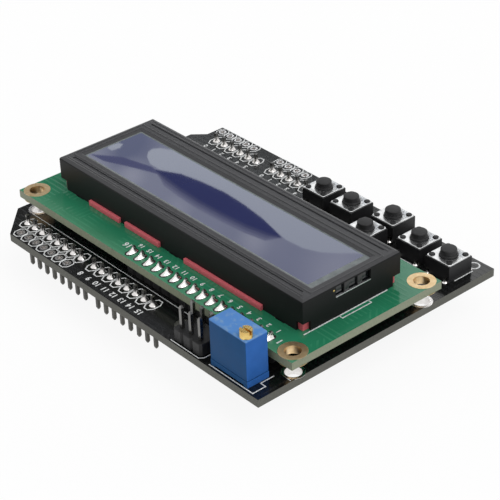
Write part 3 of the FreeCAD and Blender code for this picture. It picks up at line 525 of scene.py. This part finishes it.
class Shape:
    """A mesh in the making."""

    def __init__(self):
        self.mesh = bmesh.new()

    def skin(self, rings, capped=True, looped=False):
        """Faces between rings of points, each ring joined to the next."""
        built = [[self.mesh.verts.new(point) for point in points] for points in rings]
        pairs = list(zip(built, built[1:]))
        if looped:
            pairs.append((built[-1], built[0]))
        for lower, upper in pairs:
            count = len(lower)
            for step in range(count):
                following = (step + 1) % count
                self.mesh.faces.new((lower[step], lower[following], upper[following], upper[step]))
        if capped and not looped:
            self.mesh.faces.new(built[0][::-1])
            self.mesh.faces.new(built[-1])

    def lathe(self, x, y, profile, sides=24):
        """A closed turned form, from pairs of radius and height."""
        self.skin([ring(x, y, z, radius, sides) for radius, z in profile])

    def washer(self, x, y, low, high, inner, outer, sides=32):
        """A flat ring of some thickness."""
        rings = [(inner, low), (outer, low), (outer, high), (inner, high)]
        self.skin([ring(x, y, z, radius, sides) for radius, z in rings], looped=True)

    def block(self, low, high, corner, rim, steps=3):
        """A box with rounded upright corners and softened top and bottom rims."""
        rings = []
        for end, side in ((low[2], 1), (high[2], -1)):
            levels = [step / steps for step in range(steps + 1)]
            if side < 0:
                levels = levels[::-1]
            for share in levels:
                inset = rim * (1 - math.sin(share * math.pi / 2))
                z = end + side * rim * (1 - math.cos(share * math.pi / 2))
                rings.append(rounded(
                    low[0] + inset, high[0] - inset, low[1] + inset, high[1] - inset,
                    max(corner - inset, 0.02), z,
                ))
        self.skin(rings)

    def stroke(self, points, z, width=0.2, closed=False, lift=INK_LIFT):
        """A printed line: a thin flat band along points in the plane."""
        count = len(points)
        sections = []
        for index, (x, y) in enumerate(points):
            ways = []
            if closed or index > 0:
                ways.append(Vector((x, y)) - Vector(points[index - 1]))
            if closed or index < count - 1:
                ways.append(Vector(points[(index + 1) % count]) - Vector((x, y)))
            ways = [way.normalized() for way in ways]
            run = sum(ways, Vector((0, 0))).normalized()
            side = Vector((-run.y, run.x)) * (width / 2 / max(run.dot(ways[0]), 0.5))
            sections.append([
                (x + side.x, y + side.y, z), (x - side.x, y - side.y, z),
                (x - side.x, y - side.y, z + lift), (x + side.x, y + side.y, z + lift),
            ])
        self.skin(sections, looped=closed)

    def words(self, digits, x, y, z, size, lift=INK_LIFT):
        """Plain numbers printed on a board, centred on a place."""
        curve = bpy.data.curves.new("digits", "FONT")
        curve.body = digits
        curve.size = size
        curve.align_x = "CENTER"
        curve.align_y = "CENTER"
        curve.extrude = lift / 2
        curve.offset = size * 0.018
        curve.resolution_u = 2
        holder = bpy.data.objects.new("digits", curve)
        bpy.context.scene.collection.objects.link(holder)
        bpy.context.view_layer.update()
        mesh = bpy.data.meshes.new_from_object(holder)
        mesh.transform(Matrix.Translation((x, y, z + lift / 2)))
        self.mesh.from_mesh(mesh)
        bpy.data.objects.remove(holder)
        bpy.data.curves.remove(curve)
        bpy.data.meshes.remove(mesh)

    def finished(self, name, material, sharp=35):
        """Writes the mesh as an object of the scene, smooth but for its sharp edges."""
        bmesh.ops.remove_doubles(self.mesh, verts=self.mesh.verts, dist=0.0005)
        bmesh.ops.recalc_face_normals(self.mesh, faces=self.mesh.faces)
        for face in self.mesh.faces:
            face.smooth = True
        for edge in self.mesh.edges:
            edge.smooth = edge.calc_face_angle(0.0) < math.radians(sharp)
        bmesh.ops.scale(self.mesh, vec=(MM, MM, MM), verts=self.mesh.verts)
        mesh = bpy.data.meshes.new(name)
        self.mesh.to_mesh(mesh)
        self.mesh.free()
        mesh.materials.append(material)
        made = bpy.data.objects.new(name, mesh)
        bpy.context.scene.collection.objects.link(made)
        return made

    def piece(self, name, material, body, replaces=(), sharp=35):
        """Writes the mesh as a piece that rides on a body."""
        made = self.finished(name, material, sharp)
        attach(made, body)
        if replaces:
            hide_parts(*replaces)
        return made


# Solder joints and plating


def solder_on_display():
    """Sixteen cones that lean back over their oblong pads, one about each pin of the display."""
    shape = Shape()
    pads = Shape()
    levels = 7
    sides = 20
    tip_half, foot_flare = 0.3, 0.4
    tip_back = 0.36
    pad_half, pad_front, pad_back, pad_corner, pad_height = 0.8, 0.85, 2.05, 0.75, 0.035
    for x, y in row_places("lcd_pins"):
        height = 0.95 * (0.9 + 0.25 * chance.random())
        heel = 1.75 + 0.2 * chance.random()
        rings = []
        for level in range(levels + 1):
            share = level / levels
            half = tip_half + foot_flare * (1 - share) ** 2.4
            back = tip_back + (heel - tip_back) * (1 - share) ** 1.7
            z = DISPLAY_TOP + INK_LIFT + height * share
            points = []
            for step in range(sides):
                angle = math.tau * step / sides
                reach = back if math.sin(angle) > 0 else half
                points.append((x + half * math.cos(angle), y + reach * math.sin(angle), z))
            rings.append(points)
        shape.skin(rings)
        pads.skin([
            rounded(x - pad_half, x + pad_half, y - pad_front, y + pad_back, pad_corner, DISPLAY_TOP + lift)
            for lift in (0, pad_height)
        ])
    shape.piece("display_solder_cones", FINISHES["solder"], "shield_body", ("lcd_solder",))
    pads.piece("display_solder_pads", FINISHES["tinned_pins"], "shield_body")


def cone(shape, x, y, start, way, foot, head, height):
    """A concave solder cone that stands on a board, up or down."""
    sides = 18
    levels = 5
    profile = []
    for level in range(levels + 1):
        share = level / levels
        profile.append((head + (foot - head) * (1 - share) ** 2.2, start + way * height * share))
    shape.lathe(x, y, profile, sides)


def solder_on_shield():
    """Cones on the shield's top, about the pins that plug into the controller board."""
    shape = Shape()
    for row in PLUG_ROWS:
        for x, y in row_places(row + "_pins"):
            cone(shape, x, y, SHIELD_TOP, 1, 0.8, 0.36, 1.0 + 0.2 * chance.random())
    shape.piece("header_solder_cones", FINISHES["solder"], "shield_body", ("header_solder",))


def solder_under_shield():
    """Cones under the shield, where the other leads come through."""
    shape = Shape()
    places = row_places("lcd_pins") + row_places("program_pins") + row_places("trimmer_leads")
    for x, y in places:
        cone(shape, x, y, SHIELD_UNDER, -1, 0.9, 0.42, 0.9)
    leg_x, leg_y = 0.3, 0.15
    for name in BUTTONS:
        low, high = edges(name + "_button_contacts")
        for x in (low.x + leg_x, high.x - leg_x):
            for y in (low.y + leg_y, high.y - leg_y):
                cone(shape, x, y, SHIELD_UNDER, -1, 0.85, 0.4, 0.8)
                cone(shape, x, y, SHIELD_TOP, 1, 0.62, 0.3, 0.35)
    shape.piece("lead_solder_cones", FINISHES["solder"], "shield_body")


def hole_plating():
    """Gold rings round the display board's corner holes, and tinned ones on the shield."""
    gold = Shape()
    tin = Shape()
    sides, pad_sides = 48, 24
    film, gold_film, lining = 0.05, 0.04, 0.02
    hole, shield_hole, pad_hole = 1.5, 1.56, 0.42
    rim, shield_rim, pad_rim = 2.65, 2.15, 0.82
    for x, y in SCREW_HOLES:
        gold.washer(x, y, DISPLAY_TOP, DISPLAY_TOP + gold_film, hole, rim, sides)
        gold.washer(x, y, DISPLAY_UNDER - gold_film, DISPLAY_UNDER, hole, rim, sides)
        gold.washer(x, y, DISPLAY_UNDER - lining, DISPLAY_TOP + lining, hole, hole + 0.12, sides)
        tin.washer(x, y, SHIELD_TOP, SHIELD_TOP + film, shield_hole, shield_rim, sides)
        tin.washer(
            x, y, SHIELD_UNDER - lining, SHIELD_TOP + lining, shield_hole, shield_hole + 0.1, sides
        )
    for x, y in SPARE_PADS:
        tin.washer(x, y, SHIELD_TOP, SHIELD_TOP + film, pad_hole, pad_rim, pad_sides)
        tin.washer(x, y, SHIELD_UNDER - film, SHIELD_UNDER, pad_hole, pad_rim, pad_sides)
        tin.washer(
            x, y, SHIELD_UNDER - lining, SHIELD_TOP + lining, pad_hole, pad_hole + 0.1, pad_sides
        )
    gold.piece("display_hole_rings", GOLD, "shield_body")
    tin.piece("shield_pad_rings", FINISHES["solder"], "shield_body")


# White print
FINE_LINE = 0.16
PLAIN_LINE = 0.2
BOLD_LINE = 0.22
REAR_LINE_Y = 21.45
TRIMMER_OUTLINE = ((-26.3, 28.45), (-37.7, 28.45), (-37.7, 25.6), (-36.45, 25.6), (-36.45, 22.6))
PROGRAM_OUTLINE = ((-24.3, 22.9), (-24.3, 27.9), (-23.7, 28.6), (-16.0, 28.6))
PROGRAM_END_LINE = ((-15.9, 22.8), (-15.9, 25.2))
SELECT_LINE = ((-37.45, -20.7), (-37.45, -25.6))
# Middle and radius of the printed ring in the shield's corner
CORNER_RING = (-36.4, -27.1, 1.05)
# Half the length of the lines beside each button
BUTTON_LINE = 1.7


def ring_places(x, y, radius, sides):
    """Places round a printed circle."""
    return [(px, py) for px, py, _ in ring(x, y, 0.0, radius, sides)]


def oval(x, y, half_x, half_y):
    """The corners of an upright lozenge with clipped ends."""
    return [
        (x + half_x, y + half_y * 0.45), (x + half_x * 0.45, y + half_y),
        (x - half_x * 0.45, y + half_y), (x - half_x, y + half_y * 0.45),
        (x - half_x, y - half_y * 0.45), (x - half_x * 0.45, y - half_y),
        (x + half_x * 0.45, y - half_y), (x + half_x, y - half_y * 0.45),
    ]


def shield_print():
    """Outlines round pads, the outlines of what stands on the shield, and plain numbers."""
    shape = Shape()
    top = SHIELD_TOP
    for row in PLUG_ROWS:
        for x, y in row_places(row + "_pins"):
            shape.stroke(oval(x, y, 1.12, 1.75), top, BOLD_LINE, True)
    for x, y in SPARE_PADS:
        shape.stroke(oval(x, y, 1.15, 1.42), top, PLAIN_LINE, True)
    for start, stop in ((37.0, -25.6), (-38.1, -39.4)):
        shape.stroke([(start, REAR_LINE_Y), (stop, REAR_LINE_Y)], top, FINE_LINE)
    for outline in (TRIMMER_OUTLINE, PROGRAM_OUTLINE, PROGRAM_END_LINE):
        shape.stroke(outline, top, PLAIN_LINE)
    shape.stroke(SELECT_LINE, top, BOLD_LINE)
    shape.stroke(ring_places(*CORNER_RING, 16), top, 0.3, True)
    for name in BUTTONS:
        low, high = edges(name + "_button_base")
        middle = (low + high) / 2
        for y in (low.y - 0.7, high.y + 0.7):
            shape.stroke([(middle.x - BUTTON_LINE, y), (middle.x + BUTTON_LINE, y)], top, 0.18)
    for step, (x, y) in enumerate(row_places("digital_high_pins")):
        shape.words(str(8 + step), x, y + 3.22, top, 1.75)
    for row in ("analog", "power"):
        for step, (x, y) in enumerate(row_places(row + "_pins")):
            shape.words(str(step), x, y + 2.9, top, 1.5)
    for number, name in enumerate(BUTTONS, 1):
        low, high = edges(name + "_button_base")
        if name in ("select", "left", "right", "reset"):
            shape.words(str(number), (low.x + high.x) / 2, high.y + 1.9, top, 1.6)
    shape.piece("shield_white_print", INK, "shield_body")


def display_print():
    """The pin numbers, and the marks beside the frame."""
    shape = Shape()
    top = DISPLAY_TOP
    places = row_places("lcd_pins")
    for step, (x, y) in enumerate(places):
        shape.words(str(16 - step), x + 0.4, y - 2.1, top, 1.45)
    first_x, first_y = places[0]
    last_x, last_y = places[-1]
    shape.words("16", first_x + 2.5, first_y - 0.4, top, 1.9)
    shape.words("1", last_x - 2.0, last_y - 0.2, top, 1.9)
    edge = BEZEL_LOW.x - 0.16
    bracket = edge - 0.9
    bracket_low, bracket_high = -0.3, 6.7
    shape.stroke([(edge, 15.0), (edge, -5.1)], top, 0.25)
    shape.stroke([(bracket, bracket_low), (bracket, bracket_high), (edge, bracket_high)], top, PLAIN_LINE)
    shape.stroke([(bracket, bracket_low), (edge, bracket_low)], top, PLAIN_LINE)
    shape.piece("display_white_print", INK, "shield_body")


# The frame of the display


def frame_ribs():
    """Pressed ridges along the frame's top, and the slope that leads into its window."""
    shape = Shape()
    top = BEZEL_HIGH.z
    low_x, high_x, low_y, high_y = WINDOW
    ridge_gap = 0.8
    ridge_corner = 0.5
    # The ridge's section: how far out, and how high
    section = ((0.0, -0.02), (0.42, -0.02), (0.36, 0.07), (0.26, 0.1), (0.16, 0.1), (0.06, 0.07))
    shape.skin([
        rounded(low_x - ridge_gap - reach, high_x + ridge_gap + reach,
                low_y - ridge_gap - reach, high_y + ridge_gap + reach, ridge_corner, top + rise)
        for reach, rise in section
    ], looped=True)
    line_end, line_half, line_corner = 0.6, 0.2, 0.05
    for y in (low_y - 2.75, low_y - 3.55, high_y + 2.55, high_y + 3.05):
        shape.skin([
            rounded(low_x - line_end + inset, high_x + line_end - inset,
                    y - line_half + inset, y + line_half - inset, line_corner, top + rise)
            for inset, rise in ((0.0, -0.02), (0.04, 0.05), (0.1, 0.08))
        ])
    paint = FINISHES["black_painted_frame"]
    shape.piece("frame_pressed_ridges", paint, "shield_body")
    slope = Shape()
    film = Shape()
    slope.skin([
        rounded(low_x + inset, high_x - inset, low_y + inset, high_y - inset, 0.3, z)
        for inset, z in ((-0.05, top - 0.02), (0.12, top - 0.05), (0.55, GLASS_TOP + 0.06),
                         (0.6, GLASS_TOP + 0.01), (-0.05, GLASS_TOP + 0.01))
    ], looped=True)
    slope.piece("window_slope", paint, "shield_body")
    film.skin([
        rounded(low_x + inset, high_x - inset, low_y + inset, high_y - inset, 0.4, GLASS_TOP + lift)
        for inset, lift in ((0.5, 0.0), (0.5, 0.03), (0.86, 0.03), (0.9, 0.0))
    ], looped=True)
    film.skin([
        rounded(low_x + 0.6 + inset, low_x + 1.9 - inset, low_y + 0.6 + inset, high_y - 0.6 - inset, 0.3,
                GLASS_TOP + lift)
        for inset, lift in ((0.0, 0.0), (0.02, 0.02))
    ])
    film.piece("window_film_edge", FILM_EDGE, "shield_body")


def frame_slot():
    """The slot in the frame's end: a thin bright lip, two dark lugs and a speck of brass."""
    lip = Shape()
    lugs = Shape()
    speck = Shape()
    x = BEZEL_LOW.x
    foot = SLOT_LEVELS[0]
    lip.block((x - 0.03, SLOT[0], foot - 0.16), (x + 0.4, SLOT[1], foot + 0.02), 0.03, 0.02, 2)
    lip.piece("slot_lip", FINISHES["button_steel"], "shield_body")
    lug_half = 0.6
    for y in (SLOT[0] + 2.4, SLOT[0] + 5.6):
        lugs.block((x + 0.2, y - lug_half, foot), (x + 0.75, y + lug_half, SLOT_LEVELS[1]), 0.2, 0.2)
    lugs.piece("slot_lugs", FINISHES["black_epoxy"], "shield_body")
    speck.block((x - 0.02, SLOT[1] + 0.25, SLOT_LEVELS[1] - 0.75),
                (x + 0.1, SLOT[1] + 0.65, SLOT_LEVELS[1] - 0.4), 0.1, 0.03, 2)
    speck.piece("slot_speck", FINISHES["brass_screw"], "shield_body")


def rubber_in_recesses():
    """The pink connector where it fills the recesses at the foot of the frame."""
    shape = Shape()
    wall = BEZEL_HIGH.y
    for start, stop in RECESSES:
        shape.block((start, wall - 1.2, DISPLAY_TOP),
                    (stop, wall - 0.06, DISPLAY_TOP + RECESS_HEIGHT - 0.05), 0.1, 0.06, 2)
    shape.piece("recess_rubber", FINISHES["connector_rubber"], "shield_body")


# Push buttons


def push_button(name):
    """A button's round cap, steel plate and four riveted posts."""
    low, high = edges(name + "_button_base")
    middle = (low + high) / 2
    x, y = middle.x, middle.y
    cap_low, cap_high = edges(name + "_button_plunger")
    plate_top = edges(name + "_button_cover")[1].z
    plate_under = plate_top - 0.3
    cap = Shape()
    flange, barrel, crown = 2.1, 1.72, 1.55
    cap.lathe(x, y, [
        (flange, cap_low.z), (flange, plate_under - 0.03), (barrel, plate_under - 0.02),
        (barrel, plate_top + 0.3), (barrel - 0.04, plate_top + 0.37), (barrel - 0.1, plate_top + 0.4),
        (crown + 0.01, plate_top + 0.4), (crown, plate_top + 0.44), (crown, cap_high.z - 0.2),
        (crown - 0.04, cap_high.z - 0.09), (crown - 0.12, cap_high.z - 0.02), (crown - 0.22, cap_high.z),
    ], 48)
    cap.piece(
        name + "_cap", FINISHES["button_plastic"], name + "_plunger_body",
        (name + "_button_plunger",), 40,
    )
    plate = Shape()
    half = 2.9
    hole = 1.8
    sides = 64
    outer, inner = [], []
    for step in range(sides):
        angle = math.tau * (step + 0.5) / sides
        reach = half / max(abs(math.cos(angle)), abs(math.sin(angle)))
        outer.append((reach * math.cos(angle), reach * math.sin(angle)))
        inner.append((hole * math.cos(angle), hole * math.sin(angle)))
    loops = (
        (inner, 1.0, plate_under), (outer, 1.0, plate_under), (outer, 1.0, plate_top - 0.06),
        (outer, 0.98, plate_top), (inner, 1.06, plate_top), (inner, 1.0, plate_top - 0.05),
    )
    plate.skin(
        [[(x + px * scale, y + py * scale, z) for px, py in points] for points, scale, z in loops],
        looped=True,
    )
    plate.piece(
        name + "_plate", FINISHES["button_steel"], "shield_body",
        (name + "_button_cover",), 30,
    )
    posts = Shape()
    post_place = 2.15
    for side in (-1, 1):
        for end in (-1, 1):
            px, py = x + post_place * side, y + post_place * end
            posts.lathe(px, py, [
                (0.6, plate_top - 0.05), (0.6, plate_top + 0.08), (0.54, plate_top + 0.17),
                (0.38, plate_top + 0.2), (0.3, plate_top + 0.12), (0.1, plate_top + 0.1),
            ], 20)
    posts.piece(name + "_posts", FINISHES["button_plastic"], "shield_body", (), 40)


# Trimmer


def trimmer():
    """The trimmer's moulded shell with softened edges."""
    shell = Shape()
    shell.block(tuple(CASE_LOW), tuple(CASE_HIGH), 0.18, 0.2)
    shell.piece(
        "trimmer_shell", FINISHES["trimmer_blue"], "shield_body", ("trimmer_case",), 40
    )


# Pin headers


def notched_strip(name, node):
    """A header's plastic strip, nicked between neighbouring pins."""
    low, high = edges(node)
    shape = Shape()
    count = round((high.x - low.x) / PITCH)
    nick = 0.42
    front, back = [], []
    for cell in range(count):
        start = low.x + cell * PITCH
        stop = start + PITCH
        front += [(start + nick, low.y), (stop - nick, low.y)]
        back += [(start + nick, high.y), (stop - nick, high.y)]
        if cell < count - 1:
            front.append((stop, low.y + nick))
            back.append((stop, high.y - nick))
    outline = (
        [(low.x, low.y + nick)] + front + [(high.x, low.y + nick), (high.x, high.y - nick)]
        + back[::-1] + [(low.x, high.y - nick)]
    )
    middle = (low + high) / 2
    rings = []
    bevel = 0.08
    for z, inset in ((low.z, bevel), (low.z + bevel, 0.0), (high.z - bevel, 0.0), (high.z, bevel)):
        rings.append([
            (x - math.copysign(inset, x - middle.x), y - math.copysign(inset, y - middle.y), z)
            for x, y in outline
        ])
    shape.skin(rings)
    shape.piece(name, FINISHES["header_plastic"], "shield_body", (node,), 25)


solder_on_display()
solder_on_shield()
solder_under_shield()
hole_plating()
shield_print()
display_print()
frame_ribs()
frame_slot()
rubber_in_recesses()
for button in BUTTONS:
    push_button(button)
trimmer()
for header in PLUG_ROWS + ("program", "lcd"):
    notched_strip(header + "_strip", header + "_insulator")


# Camera, from a fit of the board's own points to the photograph
CAMERA_AZIMUTH = math.radians(230.097)
CAMERA_ELEVATION = math.radians(32.129)
CAMERA_ROLL = math.radians(-2.127)
CAMERA_PLACE = Vector((-207.666, 170.015, 176.667))
CAMERA_LENS = 119.445
CAMERA_SENSOR = 36.0


def camera_axes():
    """The camera's right, up and back."""
    back = Vector((
        math.sin(CAMERA_AZIMUTH) * math.cos(CAMERA_ELEVATION),
        -math.cos(CAMERA_AZIMUTH) * math.cos(CAMERA_ELEVATION),
        math.sin(CAMERA_ELEVATION),
    ))
    right = Vector((0, 0, 1)).cross(back).normalized()
    up = back.cross(right)
    cosine, sine = math.cos(CAMERA_ROLL), math.sin(CAMERA_ROLL)
    return cosine * right + sine * up, cosine * up - sine * right, back


def camera():
    """The camera at the photograph's place and angle."""
    data = bpy.data.cameras.new("camera")
    data.lens = CAMERA_LENS
    data.sensor_width = CAMERA_SENSOR
    data.clip_start = 0.01
    data.clip_end = 100.0
    made = bpy.data.objects.new("camera", data)
    bpy.context.scene.collection.objects.link(made)
    rotation = Matrix(camera_axes()).transposed().to_4x4()
    made.matrix_world = Matrix.Translation(CAMERA_PLACE * MM) @ rotation
    bpy.context.scene.camera = made


# What the window mirrors: outlines in pixels of the photograph, carried over to cards
PHOTO_SIDE = 500
CARD_DISTANCE = 700.0
CARD_MIDDLE = (240, 200)
FLAG = ((-160, 20), (390, 20), (388, 230), (395, 262), (398, 290), (400, 560), (-160, 560))
SIDE_SHEET = (
    (390, 60), (388, 230), (395, 262), (398, 290), (400, 420), (640, 420), (640, 60),
)
HAZE = ((70, 150), (134, 112), (150, 118), (392, 240), (372, 262), (312, 308), (290, 302))
BAND = (
    (147, 157), (148, 152), (152, 149), (160, 148), (172, 150), (188, 154), (205, 158), (300, 196),
    (390, 238), (380, 256), (357, 253.5), (337, 253.5), (320, 252.5), (303, 248.5), (286, 240),
    (274, 230), (262, 218.5), (244, 205), (225, 193), (201, 182), (181, 174.5), (160, 170), (150, 164),
)
LENS_TOP = (
    (154, 169.5), (181, 174), (201, 181.5), (225, 192.5), (244, 204.5), (262, 218), (274, 229.5),
    (282, 238),
)
LENS_FOOT = ((268, 233), (247, 225), (223, 213), (199, 200), (181, 188.5), (167, 178))
# Wider and brighter steps that soften the lens's lower edge
LENS_RIMS = ((1, 0.5), (2, 0.95), (3, 1.4))
LENS_RIM_STEP = (-1.0, 2.6)
GLINT = ((107, 148), (111, 144.5), (118, 143), (123, 144), (120, 148), (112, 150.5))
# Brighter and dimmer spots of the haze: pixel, radius on the card and share
GLOWS = (
    ((132, 172), 13.0, 0.42), ((254, 241), 14.0, 0.35), ((338, 282), 34.0, 0.35),
    ((100, 168), 24.0, 0.15), ((178, 208), 12.0, 0.25), ((120, 160), 16.0, -0.25),
    ((134, 139), 28.0, -0.5),
)
STREAK = ((90, 154), (122, 157), (152, 167), (160, 175), (150, 172), (126, 166), (104, 161))


def mirrored(pixel, nearer=0.0):
    """Where the sight line through a pixel meets the card, once the window has mirrored it."""
    right, up, back = camera_axes()

    def ray(place):
        across, down = ((part / PHOTO_SIDE - 0.5) * CAMERA_SENSOR / CAMERA_LENS for part in place)
        way = right * across - up * down - back
        hit = CAMERA_PLACE + way * ((GLASS_TOP - CAMERA_PLACE.z) / way.z)
        return hit, Vector((way.x, way.y, -way.z)).normalized()

    middle, facing = ray(CARD_MIDDLE)
    hit, way = ray(pixel)
    reach = (CARD_DISTANCE - nearer - (hit - middle).dot(facing)) / way.dot(facing)
    return hit + way * reach


def card(name, outline, material, nearer=0.0):
    """A flat studio card with a cut outline."""
    shape = Shape()
    shape.mesh.faces.new([shape.mesh.verts.new(mirrored(pixel, nearer)) for pixel in outline])
    bmesh.ops.triangulate(shape.mesh, faces=shape.mesh.faces)
    shape.finished(name, material)


def glowing(name, dim, bright, strength, spots=(), level=0.0):
    """A card that glows unevenly, brighter or dimmer about some of its places."""
    finish = Finish(name)
    amount = finish.noise(0.02, 2.0) * 0.3 + level
    for pixel, radius, share in spots:
        away = finish.node(
            "ShaderNodeVectorMath", {"operation": "DISTANCE"},
            {0: finish.place(), 1: mirrored(pixel)}, "Value",
        )
        amount = amount + finish.ramp(away, radius, 0.0) * share
    return finish.surface(
        Base_Color=(0.0, 0.0, 0.0, 1.0),
        Emission_Color=finish.mix(amount, dim, bright),
        Emission_Strength=strength,
        Specular_IOR_Level=0.0,
    )


def cards():
    """The flag, the hazy sheet and the shapes on it that the display's window mirrors."""
    flag = glowing("flag_cloth", (0.1, 0.1, 0.1, 1.0), (0.16, 0.16, 0.17, 1.0), 1.0)
    card("flag", FLAG, flag)
    haze = glowing("haze_sheet", (0.34, 0.37, 0.43, 1.0), (0.94, 0.96, 1.0, 1.0), 3.0, GLOWS, 0.27)
    card("haze", HAZE, haze, 2.0)
    band = glowing("band_sheet", (0.86, 0.93, 0.96, 1.0), (1.0, 0.98, 1.0, 1.0), 3.2)
    card("band", BAND, band, 4.0)
    lens = glowing("lens_sheet", (0.22, 0.23, 0.32, 1.0), (0.32, 0.32, 0.42, 1.0), 1.0)
    card("lens", LENS_TOP + LENS_FOOT, lens, 6.0)
    for step, strength in LENS_RIMS:
        foot = tuple(
            (x + LENS_RIM_STEP[0] * step, y + LENS_RIM_STEP[1] * step) for x, y in LENS_FOOT
        )
        rim = glowing("lens_rim_sheet", (0.84, 0.86, 1.0, 1.0), (0.94, 0.95, 1.0, 1.0), strength)
        card("lens_rim", LENS_TOP + foot, rim, 3.7 - step * 0.4)
    streak = glowing("streak_sheet", (0.62, 0.64, 0.86, 1.0), (0.8, 0.82, 1.0, 1.0), 1.0)
    card("streak", STREAK, streak, 5.0)
    card("glint", GLINT, band, 6.0)
    side = glowing("side_sheet", (1.0, 1.0, 1.0, 1.0), (0.8, 0.8, 0.8, 1.0), 1.5)
    card("side_sheet", SIDE_SHEET, side, 2.0)


def floor():
    """A plain pale floor under the pins."""
    shape = Shape()
    half, corner = 4000, 900
    shape.skin([rounded(-half, half, -half, half, corner, z, 6) for z in (-20.0, 0.0)])
    finish = Finish("pale_floor")
    cloud = finish.noise(0.01, 2.0)
    tone = finish.mix(cloud, (0.95, 0.95, 0.95, 1.0), (0.965, 0.965, 0.965, 1.0))
    matt = finish.node("ShaderNodeBsdfDiffuse", None, {"Color": tone})
    glow = finish.node("ShaderNodeEmission", None, {"Color": WHITE, "Strength": 1.0})
    mixed = finish.node("ShaderNodeMixShader", None, {0: finish.seen() * 0.9, 1: matt, 2: glow})
    finish.node("ShaderNodeOutputMaterial", None, {"Surface": mixed})
    shape.finished("floor", finish.material)


SKY_LIGHT = 0.72
LAMP_ENERGY = 0.95
LAMP_SPREAD = math.radians(40)
LAMP_TURN = (math.radians(4), math.radians(-32), 0)


def lights():
    """An even pale studio, with one broad lamp overhead."""
    world = bpy.data.worlds.new("studio")
    world.use_nodes = True
    bpy.context.scene.world = world
    sky = Finish("studio", world.node_tree)
    falling, seen = (
        sky.node("ShaderNodeBackground", None, {"Color": WHITE, "Strength": strength})
        for strength in (SKY_LIGHT, 1.0)
    )
    sky_mix = sky.node("ShaderNodeMixShader", None, {0: sky.seen(), 1: falling, 2: seen})
    sky.node("ShaderNodeOutputWorld", None, {"Surface": sky_mix})
    lamp = bpy.data.lights.new("overhead", "SUN")
    lamp.energy = LAMP_ENERGY
    lamp.angle = LAMP_SPREAD
    overhead = bpy.data.objects.new("overhead", lamp)
    overhead.rotation_euler = LAMP_TURN
    bpy.context.scene.collection.objects.link(overhead)


camera()
floor()
cards()
lights()
bpy.context.scene.view_settings.view_transform = "Standard"
